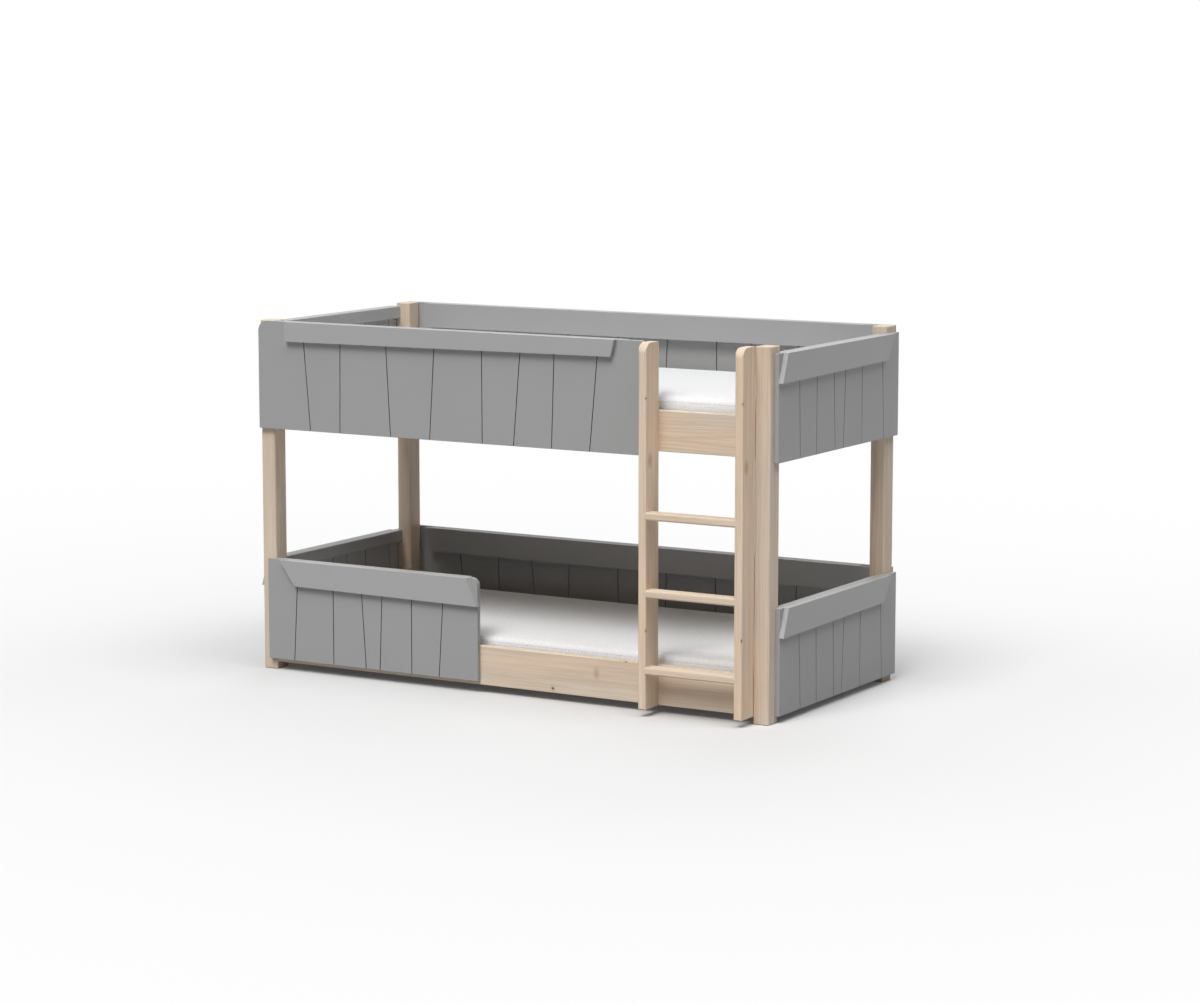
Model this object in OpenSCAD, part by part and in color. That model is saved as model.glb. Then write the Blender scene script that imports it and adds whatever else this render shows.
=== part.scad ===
// Low bunk bed: four pine posts, two slatted decks one over the other, grooved painted panels
// with slanted trims on all sides, and an upright ladder at the right of the front.
// Millimetres. X runs along the bed, Y from the ladder side to the back, Z up from the floor.
// The origin is on the floor, in the middle of the overall length and depth.

/* [Mattresses] */
// Length of a mattress, which sets the length of the bed
mattress_l = 2000; // [1600:10:2200]
// Width of a mattress, which sets the depth of the bed
mattress_w = 900; // [700:10:1200]
// Thickness of a mattress
mattress_t = 138; // [90:1:150]
// Gap between the ends of a mattress and the posts
mattress_end_gap = 5; // [3:1:20]
// Gap between the sides of a mattress and the rails
mattress_side_gap = 11; // [3:1:20]
// Gap between a mattress and its slats
mattress_gap = 0.5; // [0.3:0.1:2]
// Radius of a mattress's long edges
mattress_r = 22; // [12:1:35]
// Corner radius of a mattress, seen from above
mattress_corner = 45; // [36:1:90]
// How far the middle of the top stands above its edges
mattress_crown = 7; // [2:1:15]
// How far the middle of each side is drawn in
mattress_draw = 4; // [1:0.5:8]

/* [Frame] */
// Height of the posts
post_h = 1308; // [1250:2:1500]
// Width of a post, seen from the front
post_w = 60; // [50:1:80]
// Depth of a post, seen from the end
post_d = 71; // [65:1:90]
// Radius on the long edges of the posts
post_r = 6; // [2:0.5:10]
// Radius on the edges of rails, stiles and small timber
timber_r = 3; // [1:0.5:4]

/* [Rails] */
// Height of the rails
rail_h = 143; // [138:1:160]
// Thickness of the rails
rail_t = 27; // [24:1:35]
// Underside of the lower rails above the floor
lower_rail_z = 29; // [25:1:60]

/* [Slatted decks] */
// Underside of the lower slats above the underside of their rails
lower_slat_rise = 26; // [26:1:36]
// Underside of the upper slats above the underside of their rails
upper_slat_rise = 43; // [26:1:43]
// Number of slats in each deck
slat_n = 16; // [12:1:18]
// Width of a slat
slat_w = 70; // [50:1:80]
// Thickness of a slat
slat_t = 15; // [12:1:20]
// Gap between the ends of a slat and the rails
slat_gap = 3; // [1:0.5:6]
// Width of a cleat that carries the slats
cleat_w = 25; // [20:1:35]
// Height of a cleat
cleat_h = 25; // [18:1:25]
// Gap between the ends of the cleats and the posts
deck_end_gap = 5; // [2:1:10]
// Width of the webbing tapes under the slats
tape_w = 20; // [10:1:30]
// Thickness of the webbing tapes
tape_t = 1.2; // [0.8:0.1:2]
// Distance of a tape from the end of the slats
tape_in = 110; // [70:5:250]

/* [Panels] */
// Thickness of the panels, trims and bands
board_t = 18; // [15:1:22]
// Height of the upper front and back panels, whose tops are flush with the posts
tall_panel_h = 400; // [380:1:420]
// Height of the other panels
panel_h = 377; // [360:1:390]
// How far the upper panels hang below the upper rails
panel_under = 17; // [0:1:25]
// Extra height of the upper left end panel over the right one
upper_left_lift = 9; // [0:1:20]
// Underside of the lower front panel above the floor
lower_front_z = 43; // [30:1:60]
// Underside of the lower back panel above the floor
lower_back_z = 41; // [30:1:60]
// Underside of the lower right end panel above the floor
lower_right_z = 26; // [20:1:40]
// Underside of the lower left end panel above the floor
lower_left_z = 29; // [20:1:40]
// How far the long panels stop short of the outer faces of the posts
panel_in = 5; // [0:1:15]
// How far the lower front panel stops short of the outer face of its post
lower_front_in = 36; // [10:1:40]
// Length of the lower front panel
lower_front_l = 923; // [700:1:1200]
// Front edge of the upper end panels behind the face of the posts
upper_end_in = 26; // [10:1:30]
// How much further back the upper left end panel sits than the right one
upper_left_shift = 18; // [0:1:20]
// Front edge of the lower end panels behind the face of the posts
lower_end_in = 46; // [10:1:46]
// How far the end panels stop short of the back of the rear posts
end_back_in = 5; // [0:1:15]
// Corner radius at the top of the upper front panel
tall_corner = 40; // [10:1:60]
// Corner radius at the top of the lower front panel, on its open side
low_corner = 28; // [10:1:60]
// Height of the bands that stiffen the panels
band_h = 46; // [30:1:60]
// How far the upper front band stops short of the right end of its panel
upper_front_band_in = 96; // [20:1:200]
// How far the lower front band stops short of the right end of its panel
lower_front_band_in = 45; // [20:1:200]
// How far the back bands stop short of the ends of their panels
back_band_in = 120; // [115:1:200]
// Width of the grooves
groove_w = 3.5; // [2:0.5:6]
// Depth of the grooves
groove_depth = 4; // [1:0.5:6]

/* [Ladder] */
// Width over the stiles
ladder_w = 408; // [360:2:500]
// How far the right stile stands over the face of the post
stile_on_post = 3; // [0:0.5:5]
// Width of a stile, seen from the front
stile_w = 31; // [28:1:40]
// Depth of a stile
stile_d = 92; // [70:1:110]
// Underside of the stiles above the floor
stile_z = 28; // [10:1:60]
// Radius on the front of the top of a stile
stile_top_r = 35; // [10:1:50]
// Underside of the first rung above the floor
rung_z = 151; // [120:1:200]
// Spacing of the rungs
rung_pitch = 271.5; // [230:0.5:280]
// Depth of a rung
rung_d = 50; // [40:1:60]
// Height of a rung
rung_t = 28; // [24:1:34]
// Radius on the edges of a rung
rung_r = 7; // [3:0.5:10]
// Depth of the pockets that the rungs sit in
rung_pocket = 10; // [6:1:12]

/* [Fittings] */
// Radius of the threaded studs in the posts
stud_r = 4; // [3:0.5:5]
// Clearance round a stud in its rail
stud_gap = 0.25; // [0.1:0.05:0.5]
// Depth of a stud in its post
stud_in_post = 30; // [20:1:36]
// Distance from a rail's end to the middle of its nut pocket
pocket_in = 45; // [38:1:60]
// Radius of the nut pockets
pocket_r = 15; // [13:0.5:16]
// Depth of the nut pockets
pocket_depth = 21; // [19:0.5:22]
// Heights of the studs above the underside of the rail: lower one
stud_low = 60; // [58:1:64]
// Heights of the studs above the underside of the rail: upper one
stud_high = 110; // [100:1:116]
// Shank radius of the wood screws
screw_r = 2.25; // [1.5:0.25:3]
// Head radius of the wood screws
screw_head_r = 4.5; // [3.5:0.25:5]
// Height of the countersunk heads
screw_head_h = 3; // [2:0.25:3.5]
// Shank radius of the ladder bolts
ladder_bolt_r = 3; // [2.5:0.25:4]
// Radius of the dowels in the rungs
dowel_r = 4; // [3:0.5:5]

/* [Hidden] */
$fn = 48;

// Colours as photographed
pine = [0.87, 0.77, 0.64];
grey_paint = [0.62, 0.62, 0.62];
sheet_white = [0.95, 0.95, 0.95];
webbing = [0.90, 0.90, 0.88];
zinc = [0.72, 0.73, 0.75];
beech = [0.80, 0.66, 0.48];

// Overlength of a cutting tool beyond the face that it leaves
over = 2;

// Small rounding on the edges of the panels and bands, on their corners and on the cleats
board_r = 1.5;
panel_corner = 2;
cleat_r = 2;

frame_l = mattress_l + 2 * (mattress_end_gap + post_w);
frame_d = mattress_w + 2 * (mattress_side_gap + rail_t);

// The drawing is laid out with Y = 0 at the face of the front posts
overall_d = stile_d + frame_d + board_t;
front_y = stile_d - overall_d / 2;

half_l = frame_l / 2;
inner_x = half_l - post_w;              // inner face of the posts, seen from the front
inner_y = frame_d - post_d;             // front face of the rear posts
stile_right_x = inner_x + stile_on_post;  // the ladder's right side
stile_left_x = stile_right_x - ladder_w;

// Nut and half-moon washer of a stud, and the stud's tail beyond the middle of its pocket
stud_tail = 5;
nut_r = 7.5;
nut_h = 6.5;
washer_w = 15;
washer_half = 8;
washer_flat = pocket_in - washer_half;

// Wood screws: into the panels from the rails and the posts, from behind, and under the slats
panel_bite = 13;
rail_screw_rise = 130;
rail_screw_l = rail_t + panel_bite;
post_screw_bore_r = 5;
post_screw_bite = 24;
post_screw_l = post_screw_bite + panel_bite;
post_screw_in = 13;
post_end_screw_rise = [85, 161];
back_screw_bite = 22;
back_screw_l = board_t + back_screw_bite;
back_post_screw_rise = [150, 310];
back_rail_screw_rise = 86;
back_rail_screw_pitch = frame_l * 0.21;
cleat_screw_n = 7;
cleat_screw_l = 42;
cleat_screw_in = 80;
slat_screw_l = 33;

// Ladder bolts with their sunk heads and threaded inserts, by rail and height on it
ladder_head_r = 6;
ladder_head_h = 6;
ladder_sink = 7;
ladder_bolt_l = 58;
insert_r = 5;
insert_l = 15;

tall_panel_z = post_h - tall_panel_h;
upper_rail_z = tall_panel_z + panel_under;
levels = [lower_rail_z, upper_rail_z];
ladder_bolt_spots = [[upper_rail_z, 85], [upper_rail_z, 129], [lower_rail_z, 85]];
lower_slat_z = lower_rail_z + lower_slat_rise;
upper_slat_z = upper_rail_z + upper_slat_rise;
slat_l = frame_d - 2 * rail_t - 2 * slat_gap;
cleat_l = 2 * (inner_x - deck_end_gap);
slat_span = 2 * (inner_x - 2 * deck_end_gap) - slat_w;

upper_right_z = tall_panel_z;
upper_left_z = upper_right_z + upper_left_lift;
tall_panel_l = stile_left_x + half_l - panel_in;
back_panel_l = frame_l - 2 * panel_in;
upper_end_l = frame_d - upper_end_in - end_back_in;
lower_end_l = frame_d - lower_end_in - end_back_in;

// Grooves, as shares of the panel's length from its left or front edge: at the bottom, at the top
upper_front_grooves = [
    [0.139, 0.119], [0.218, 0.221], [0.352, 0.339], [0.454, 0.469],
    [0.589, 0.588], [0.668, 0.688], [0.763, 0.771], [0.857, 0.879]
];
lower_front_grooves = [
    [0.125, 0.148], [0.317, 0.317], [0.474, 0.447], [0.540, 0.556], [0.691, 0.692], [0.820, 0.846]
];
upper_end_grooves = [
    [0.175, 0.161], [0.305, 0.307], [0.459, 0.441], [0.527, 0.548], [0.685, 0.682], [0.875, 0.852]
];
lower_end_grooves = [
    [0.173, 0.152], [0.307, 0.297], [0.454, 0.441], [0.521, 0.546], [0.681, 0.681], [0.877, 0.857]
];
back_grooves = [
    [0.128, 0.109], [0.201, 0.197], [0.284, 0.264], [0.348, 0.351], [0.455, 0.453],
    [0.549, 0.557], [0.655, 0.655], [0.729, 0.722], [0.812, 0.819], [0.891, 0.887]
];

// Trims, as shares of the panel's length from its ends: left and right at the top, left and right at
// the bottom, then the height at the left and at the right as shares of the panel's height
upper_front_trim_cut = [0.0772, 0.0778, 0.0784, 0.0874, 0.180, 0.150];
lower_front_trim_cut = [0.0683, 0.0412, 0.1419, -0.0087, 0.247, 0.268];
upper_end_trim_cut = [0.0381, 0.0698, -0.0021, 0.1354, 0.271, 0.244];
lower_end_trim_cut = [0.0368, 0.0800, -0.0065, 0.1470, 0.268, 0.244];
upper_back_trim_cut = [0.0476, 0.0274, 0.0528, 0.0325, 0.235, 0.225];
lower_back_trim_cut = [0.0472, 0.0274, 0.0505, 0.0325, 0.246, 0.251];

// ---------------------------------------------------------------- helpers

module along_x(l) rotate([90, 0, 90]) linear_extrude(l) children();
module along_y(l) translate([0, l, 0]) rotate([90, 0, 0]) linear_extrude(l) children();

// What is left outside a quarter circle, for rounding the corner at the origin
module corner_waste(r) {
    difference() {
        translate([-over, -over]) square(r + over);
        translate([r, r]) circle(r);
    }
}

// Rectangle with its own radius on each corner, anticlockwise from the origin
module rounded_rect(w, h, radii) {
    difference() {
        square([w, h]);
        if (radii[0] > 0) corner_waste(radii[0]);
        if (radii[1] > 0) translate([w, 0]) rotate(90) corner_waste(radii[1]);
        if (radii[2] > 0) translate([w, h]) rotate(180) corner_waste(radii[2]);
        if (radii[3] > 0) translate([0, h]) rotate(270) corner_waste(radii[3]);
    }
}

function all4(r) = [r, r, r, r];

// Timber along X with its long edges rounded
module bar_x(l, w, h, r = timber_r) along_x(l) rounded_rect(w, h, all4(r));
module bar_y(l, w, h, r = timber_r) along_y(l) rounded_rect(w, h, all4(r));

// Places a child as drawn on the left, or mirrored on the right
module on_side(right) mirror([right ? 1 : 0, 0, 0]) children();

module placed() translate([0, front_y, 0]) children();

// ---------------------------------------------------------------- fasteners

// Countersunk wood screw along +Y from its head at the origin
module wood_screw(l) {
    rotate([-90, 0, 0]) {
        cylinder(h = l, r = screw_r);
        cylinder(h = screw_head_h, r1 = screw_head_r, r2 = screw_r);
    }
}

// One joint between a post and a rail. The stud lies along +X out of the post's face,
// and the pocket opens towards +Y, at the rail's inner face.
module joint_stud() translate([-stud_in_post, 0, 0]) rotate([0, 90, 0])
    cylinder(h = stud_in_post + pocket_in + stud_tail, r = stud_r);
module joint_rail_cut() {
    translate([-over, 0, 0]) rotate([0, 90, 0]) cylinder(h = pocket_in + over, r = stud_r + stud_gap);
    translate([pocket_in, rail_t / 2 - pocket_depth, 0]) rotate([-90, 0, 0])
        cylinder(h = pocket_depth + over, r = pocket_r);
}
module joint_washer() {
    difference() {
        translate([pocket_in, rail_t / 2 - pocket_depth, 0]) rotate([-90, 0, 0])
            cylinder(h = washer_w, r = pocket_r);
        translate([washer_flat, -rail_t, -pocket_r - over])
            cube([2 * pocket_r, 2 * rail_t, 2 * (pocket_r + over)]);
        rotate([0, 90, 0]) cylinder(h = pocket_in, r = stud_r + stud_gap);
    }
}
module joint_nut() translate([washer_flat, 0, 0]) rotate([0, 90, 0]) {
    difference() {
        cylinder(h = nut_h, r = nut_r, $fn = 6);
        translate([0, 0, -over]) cylinder(h = nut_h + 2 * over, r = stud_r);
    }
}
// Every joint of the side rails, with its child drawn at each stud
module side_rail_joints(zs = levels, rear_too = true, front_too = true) {
    for (z = zs, up = [stud_low, stud_high], right = [false, true]) {
        on_side(right) {
            if (front_too) translate([-inner_x, rail_t / 2, z + up]) children();
            if (rear_too) translate([-inner_x, frame_d - rail_t / 2, z + up]) mirror([0, 1, 0]) children();
        }
    }
}

// Every joint of one end's rail, on the left
module end_rail_joints(zs = levels) {
    for (z = zs, up = [stud_low, stud_high]) {
        translate([-inner_x - rail_t / 2, post_d, z + up]) rotate([0, 0, 90]) mirror([0, 1, 0]) children();
        translate([-inner_x - rail_t / 2, inner_y, z + up]) rotate([0, 0, -90]) children();
    }
}

module all_joints() {
    side_rail_joints() children();
    for (right = [false, true]) on_side(right) end_rail_joints() children();
}

// Screws through the rails into the front panels, from the inside
module upper_front_screws() {
    for (share = [0.1:0.2:0.9])
        translate([-half_l + panel_in + tall_panel_l * share, rail_t, upper_rail_z + rail_screw_rise])
            rotate([0, 0, 180]) children();
}
module lower_front_screws() {
    for (share = [0.15, 0.5, 0.85])
        translate([-half_l + lower_front_in + lower_front_l * share, rail_t, lower_rail_z + rail_screw_rise])
            rotate([0, 0, 180]) children();
}

// Screws through the left post into the front panels, sunk in from its back face
module post_front_screws(z, h) {
    for (share = [0.5, 0.8]) translate([-inner_x - post_screw_in, post_screw_bite, z + h * share])
        rotate([0, 0, 180]) children();
}

// Screws through the posts into the end panels, sunk in from their inner faces, on the left
module post_end_screws() {
    for (y = [post_d - post_screw_in, frame_d - post_d / 2], z = levels, up = post_end_screw_rise)
        translate([-half_l + post_screw_bite, y, z + up]) rotate([0, 0, 90]) children();
}

// Screws through a back panel into the rear posts and rail, from behind
module back_screws(rail_z) {
    for (x = [-half_l + post_w / 2, half_l - post_w / 2], up = back_post_screw_rise)
        translate([x, frame_d + board_t, rail_z + up]) rotate([0, 0, 180]) children();
    for (i = [-2:2])
        translate([i * back_rail_screw_pitch, frame_d + board_t, rail_z + back_rail_screw_rise])
            rotate([0, 0, 180]) children();
}

// Screws of the cleats, and of the end slats
module cleat_screw_places(slat_z) {
    for (i = [0:cleat_screw_n - 1], rear = [false, true]) {
        x = (i / (cleat_screw_n - 1) - 0.5) * 2 * (inner_x - cleat_screw_in);
        z = slat_z - cleat_h / 2;
        if (rear) translate([x, frame_d - rail_t - cleat_w, z]) children();
        else translate([x, rail_t + cleat_w, z]) rotate([0, 0, 180]) children();
    }
}
module slat_screw_places(slat_z) {
    for (i = [0, slat_n - 1], rear = [false, true])
        translate([slat_x(i), rear ? frame_d - rail_t - cleat_w / 2 : rail_t + cleat_w / 2, slat_z + slat_t])
            rotate([-90, 0, 0]) children();
}

// Ladder bolts lie along -Y through the front rails into the stiles
module ladder_bolt_places() {
    for (spot = ladder_bolt_spots, x = [stile_left_x + stile_w / 2, stile_right_x - stile_w / 2])
        translate([x, 0, spot[0] + spot[1]]) children();
}

// ---------------------------------------------------------------- posts

module post(x, y) {
    color(pine) placed() difference() {
        translate([x, y, 0]) intersection() {
            linear_extrude(post_h) rounded_rect(post_w, post_d, all4(post_r));
            along_x(post_w) rounded_rect(post_d, post_h, all4(timber_r));
            along_y(post_d) rounded_rect(post_w, post_h, all4(timber_r));
        }
        all_joints() joint_stud();
        for (right = [false, true]) on_side(right) post_end_screws() post_screw_hole(post_w);
        post_front_screws(tall_panel_z, tall_panel_h) post_screw_hole(post_d);
        post_front_screws(lower_front_z, panel_h) post_screw_hole(post_d);
        for (z = levels) back_screws(z) wood_screw(back_screw_l);
    }
}

// Hole for a screw whose head sits post_screw_bite short of the panel, in timber of depth d
module post_screw_hole(d) {
    wood_screw(post_screw_bite + over);
    rotate([90, 0, 0]) cylinder(h = d - post_screw_bite + over, r = post_screw_bore_r);
}

module front_left_post() post(-half_l, 0);
module front_right_post() post(inner_x, 0);
module rear_left_post() post(-half_l, inner_y);
module rear_right_post() post(inner_x, inner_y);

// ---------------------------------------------------------------- rails

module front_rail(z, slat_z) {
    color(pine) placed() difference() {
        translate([-inner_x, 0, z]) bar_x(2 * inner_x, rail_t, rail_h);
        side_rail_joints([z], rear_too = false) joint_rail_cut();
        upper_front_screws() wood_screw(rail_screw_l);
        lower_front_screws() wood_screw(rail_screw_l);
        cleat_screw_places(slat_z) wood_screw(cleat_screw_l);
        ladder_bolt_places() {
            translate([0, -over, 0]) rotate([-90, 0, 0]) cylinder(h = rail_t + 2 * over, r = ladder_bolt_r);
            translate([0, rail_t - ladder_sink, 0]) rotate([-90, 0, 0])
                cylinder(h = ladder_sink + over, r = ladder_head_r);
        }
    }
}

module rear_rail(z, slat_z) {
    color(pine) placed() difference() {
        translate([-inner_x, frame_d - rail_t, z]) bar_x(2 * inner_x, rail_t, rail_h);
        side_rail_joints([z], front_too = false) joint_rail_cut();
        cleat_screw_places(slat_z) wood_screw(cleat_screw_l);
        back_screws(z) wood_screw(back_screw_l);
    }
}

// The end rails are flush with the inner faces of the posts, close to the ends of the mattress
module end_rail(z, right) {
    color(pine) placed() on_side(right) difference() {
        translate([-inner_x - rail_t, post_d, z]) bar_y(inner_y - post_d, rail_t, rail_h);
        end_rail_joints([z]) joint_rail_cut();
    }
}

module upper_front_rail() front_rail(upper_rail_z, upper_slat_z);
module lower_front_rail() front_rail(lower_rail_z, lower_slat_z);
module upper_rear_rail() rear_rail(upper_rail_z, upper_slat_z);
module lower_rear_rail() rear_rail(lower_rail_z, lower_slat_z);
module upper_left_end_rail() end_rail(upper_rail_z, false);
module upper_right_end_rail() end_rail(upper_rail_z, true);
module lower_left_end_rail() end_rail(lower_rail_z, false);
module lower_right_end_rail() end_rail(lower_rail_z, true);

// ---------------------------------------------------------------- slatted decks

module cleat(slat_z, rear) {
    color(pine) placed() difference() {
        translate([-cleat_l / 2, rear ? frame_d - rail_t - cleat_w : rail_t, slat_z - cleat_h])
            bar_x(cleat_l, cleat_w, cleat_h, cleat_r);
        cleat_screw_places(slat_z) wood_screw(cleat_screw_l);
        slat_screw_places(slat_z) wood_screw(slat_screw_l);
    }
}
module upper_front_cleat() cleat(upper_slat_z, false);
module upper_rear_cleat() cleat(upper_slat_z, true);
module lower_front_cleat() cleat(lower_slat_z, false);
module lower_rear_cleat() cleat(lower_slat_z, true);

function slat_x(i) = (i / (slat_n - 1) - 0.5) * slat_span;

module slats(slat_z) {
    color(pine) placed() difference() {
        for (i = [0:slat_n - 1])
            translate([slat_x(i) - slat_w / 2, rail_t + slat_gap, slat_z]) bar_y(slat_l, slat_w, slat_t);
        slat_screw_places(slat_z) wood_screw(slat_screw_l);
    }
}
module upper_slats() slats(upper_slat_z);
module lower_slats() slats(lower_slat_z);

module slat_tapes(slat_z) {
    front = rail_t + slat_gap + tape_in;
    color(webbing) placed() for (y = [front, frame_d - front - tape_w])
        translate([slat_x(0) - slat_w / 2, y, slat_z - tape_t]) cube([slat_span + slat_w, tape_w, tape_t]);
}
module upper_slat_tapes() slat_tapes(upper_slat_z);
module lower_slat_tapes() slat_tapes(lower_slat_z);

// ---------------------------------------------------------------- panels, trims and bands

// Groove from the bottom to the top of a panel of height h, in the face at y
module groove(ends, h, y) {
    run = ends[1] - ends[0];
    translate([ends[0], y, 0]) rotate([0, atan2(run, h), 0])
        translate([-groove_w / 2, -groove_depth, -over])
            cube([groove_w, 2 * groove_depth, norm([run, h]) + 2 * over]);
}

// Panel seen from outside, with its left bottom corner at the origin and its face at y = 0
module panel(l, h, grooves, radii = all4(panel_corner)) {
    difference() {
        intersection() {
            along_y(board_t) rounded_rect(l, h, radii);
            along_x(l) rounded_rect(board_t, h, all4(board_r));
        }
        for (ends = grooves, y = [0, board_t]) groove(ends * l, h, y);
    }
}

// Trim board with slanted ends, whose top is flush with the top of a panel of length l and height h
module trim(cut, l, h) {
    along_y(board_t) polygon([
        [cut[0] * l, h], [cut[2] * l, (1 - cut[4]) * h],
        [(1 - cut[3]) * l, (1 - cut[5]) * h], [(1 - cut[1]) * l, h]
    ]);
}

// Turns a panel drawn from outside so that it lies on the left or the right end
module end_place(right, in, z) {
    if (right) translate([half_l + board_t, in, z]) rotate([0, 0, 90]) children();
    else translate([-half_l - board_t, in, z]) mirror([1, 0, 0]) rotate([0, 0, 90]) children();
}

module front_place(x, z) translate([x, -board_t, z]) children();

module upper_front_panel() color(grey_paint) placed() difference() {
    front_place(-half_l + panel_in, tall_panel_z)
        panel(tall_panel_l, tall_panel_h, upper_front_grooves,
              [panel_corner, panel_corner, tall_corner, tall_corner]);
    upper_front_screws() wood_screw(rail_screw_l);
    post_front_screws(tall_panel_z, tall_panel_h) wood_screw(post_screw_l);
}
module lower_front_panel() color(grey_paint) placed() difference() {
    front_place(-half_l + lower_front_in, lower_front_z)
        panel(lower_front_l, panel_h, lower_front_grooves,
              [panel_corner, panel_corner, low_corner, panel_corner]);
    lower_front_screws() wood_screw(rail_screw_l);
    post_front_screws(lower_front_z, panel_h) wood_screw(post_screw_l);
}

module end_panel(right, l, in, z, grooves) color(grey_paint) placed() difference() {
    end_place(right, in, z) panel(l, panel_h, grooves);
    on_side(right) post_end_screws() wood_screw(post_screw_l);
}
upper_left_in = upper_end_in + upper_left_shift;
module upper_left_end_panel() end_panel(false, upper_end_l, upper_left_in, upper_left_z, upper_end_grooves);
module upper_right_end_panel() end_panel(true, upper_end_l, upper_end_in, upper_right_z, upper_end_grooves);
module lower_left_end_panel() end_panel(false, lower_end_l, lower_end_in, lower_left_z, lower_end_grooves);
module lower_right_end_panel() end_panel(true, lower_end_l, lower_end_in, lower_right_z, lower_end_grooves);

module back_panel(z, h, rail_z) color(grey_paint) placed() difference() {
    translate([-half_l + panel_in, frame_d, z]) panel(back_panel_l, h, back_grooves);
    back_screws(rail_z) wood_screw(back_screw_l);
}
module upper_back_panel() back_panel(tall_panel_z, tall_panel_h, upper_rail_z);
module lower_back_panel() back_panel(lower_back_z, panel_h, lower_rail_z);

module upper_front_trim() color(grey_paint) placed() translate([0, -board_t, 0])
    front_place(-half_l + panel_in, tall_panel_z) trim(upper_front_trim_cut, tall_panel_l, tall_panel_h);
module lower_front_trim() color(grey_paint) placed() translate([0, -board_t, 0])
    front_place(-half_l + lower_front_in, lower_front_z) trim(lower_front_trim_cut, lower_front_l, panel_h);
module end_trim(right, l, in, z, cut) color(grey_paint) placed()
    end_place(right, in, z) translate([0, -board_t, 0]) trim(cut, l, panel_h);
module upper_left_end_trim() end_trim(false, upper_end_l, upper_left_in, upper_left_z, upper_end_trim_cut);
module upper_right_end_trim() end_trim(true, upper_end_l, upper_end_in, upper_right_z, upper_end_trim_cut);
module lower_left_end_trim() end_trim(false, lower_end_l, lower_end_in, lower_left_z, lower_end_trim_cut);
module lower_right_end_trim() end_trim(true, lower_end_l, lower_end_in, lower_right_z, lower_end_trim_cut);

// The back trims stand on the inside of the bed, in front of their bands
module back_trim(z, h, cut) color(grey_paint) placed()
    translate([-half_l + panel_in, frame_d - 2 * board_t, z]) trim(cut, back_panel_l, h);
module upper_back_trim() back_trim(tall_panel_z, tall_panel_h, upper_back_trim_cut);
module lower_back_trim() back_trim(lower_back_z, panel_h, lower_back_trim_cut);

// Bands lie against the inner faces of the panels, flush with their tops, between the posts
module front_band(x_end, z_top) color(grey_paint) placed()
    translate([-inner_x, 0, z_top - band_h]) bar_x(x_end + inner_x, board_t, band_h, board_r);
module upper_front_band() front_band(stile_left_x - upper_front_band_in, post_h);
module lower_front_band()
    front_band(-half_l + lower_front_in + lower_front_l - lower_front_band_in, lower_front_z + panel_h);
module back_band(z_top) color(grey_paint) placed()
    translate([-half_l + panel_in + back_band_in, frame_d - board_t, z_top - band_h])
        bar_x(back_panel_l - 2 * back_band_in, board_t, band_h, board_r);
module upper_back_band() back_band(post_h);
module lower_back_band() back_band(lower_back_z + panel_h);
module end_band(right, z_top) color(grey_paint) placed() on_side(right)
    translate([-half_l, post_d, z_top - band_h]) bar_y(inner_y - post_d, board_t, band_h, board_r);
module upper_left_end_band() end_band(false, upper_left_z + panel_h);
module upper_right_end_band() end_band(true, upper_right_z + panel_h);
module lower_left_end_band() end_band(false, lower_left_z + panel_h);
module lower_right_end_band() end_band(true, lower_right_z + panel_h);

// ---------------------------------------------------------------- ladder

module stile(x) {
    h = post_h - stile_z;
    color(pine) placed() difference() {
        translate([x, -stile_d, stile_z]) intersection() {
            along_x(stile_w) rounded_rect(stile_d, h, [timber_r, timber_r, 2 * timber_r, stile_top_r]);
            linear_extrude(h) rounded_rect(stile_w, stile_d, [post_r, post_r, timber_r, timber_r]);
        }
        for (i = rungs) {
            rung_solid(i);
            rung_dowels_at(i);
        }
        ladder_bolt_places() rotate([90, 0, 0]) {
            translate([0, 0, -over]) cylinder(h = insert_l + over, r = insert_r);
            cylinder(h = ladder_bolt_l - rail_t + ladder_sink + over, r = ladder_bolt_r);
        }
    }
}
module ladder_left_stile() stile(stile_left_x);
module ladder_right_stile() stile(stile_right_x - stile_w);

rungs = [0, 1, 2];
rung_x = stile_left_x + stile_w - rung_pocket;
rung_l = ladder_w - 2 * stile_w + 2 * rung_pocket;
module rung_solid(i) translate([rung_x, -stile_d, rung_z + i * rung_pitch])
    bar_x(rung_l, rung_d, rung_t, rung_r);

// Two dowels at each end of a rung
dowel_l = 32;
dowel_in_stile = 12;
dowel_apart = 22;
module rung_dowels_at(i) {
    for (y = [rung_d - dowel_apart, rung_d + dowel_apart] / 2, end = [0, 1])
        translate([rung_x - dowel_in_stile + end * (rung_l + 2 * dowel_in_stile - dowel_l),
                   y - stile_d, rung_z + i * rung_pitch + rung_t / 2])
            rotate([0, 90, 0]) cylinder(h = dowel_l, r = dowel_r);
}
module rung(i) color(pine) placed() difference() {
    rung_solid(i);
    rung_dowels_at(i);
}
module bottom_rung() rung(rungs[0]);
module middle_rung() rung(rungs[1]);
module top_rung() rung(rungs[2]);

// ---------------------------------------------------------------- mattresses

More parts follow.
